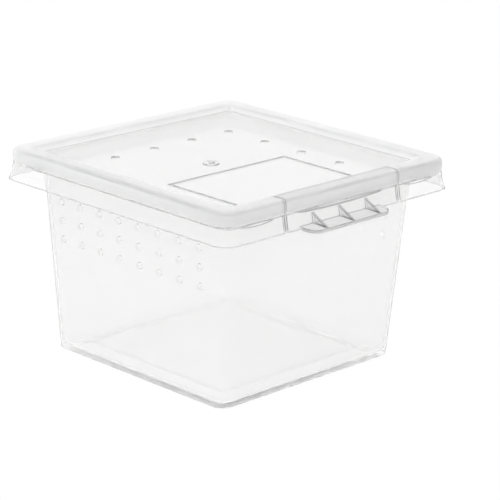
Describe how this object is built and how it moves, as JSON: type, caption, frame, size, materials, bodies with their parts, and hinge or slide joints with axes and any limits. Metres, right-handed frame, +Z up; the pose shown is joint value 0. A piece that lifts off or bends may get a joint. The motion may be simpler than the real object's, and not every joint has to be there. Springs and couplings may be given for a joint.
{
  "type": "plastic breeding box",
  "caption": "Square see-through plastic tub with a recessed, vented lift-off lid and a sprung latch flap at the front, for keeping small live feeders or young animals.",
  "frame": {"origin": "middle of the tub's footprint, on the surface that it stands on", "axes": "+Z up, -Y towards the latch at the front, +X to the right when the latch is seen from the front"},
  "size_m": [0.1216, 0.1283, 0.0797],
  "materials": {
    "tub_plastic": "natural see-through polypropylene, smooth, slightly milky",
    "lid_plastic": "natural see-through polypropylene, smooth, slightly milky"
  },
  "bodies": {
    "tub": {"tub": "tub_plastic"},
    "lid": {"lid": "lid_plastic"},
    "latch": {"latch_flap": "lid_plastic"}
  },
  "joints": [
    {"name": "lid_lift", "type": "slide", "parent": "tub", "child": "lid", "axis": [0, 0, 1], "range_m": [0, 0.09]},
    {"name": "latch_flex", "type": "hinge", "parent": "lid", "child": "latch", "pos_m": [0.0004, -0.0535, 0.0797], "axis": [-1, 0, 0], "range_deg": [0, 35], "stiffness_Nm_per_rad": 0.05}
  ]
}
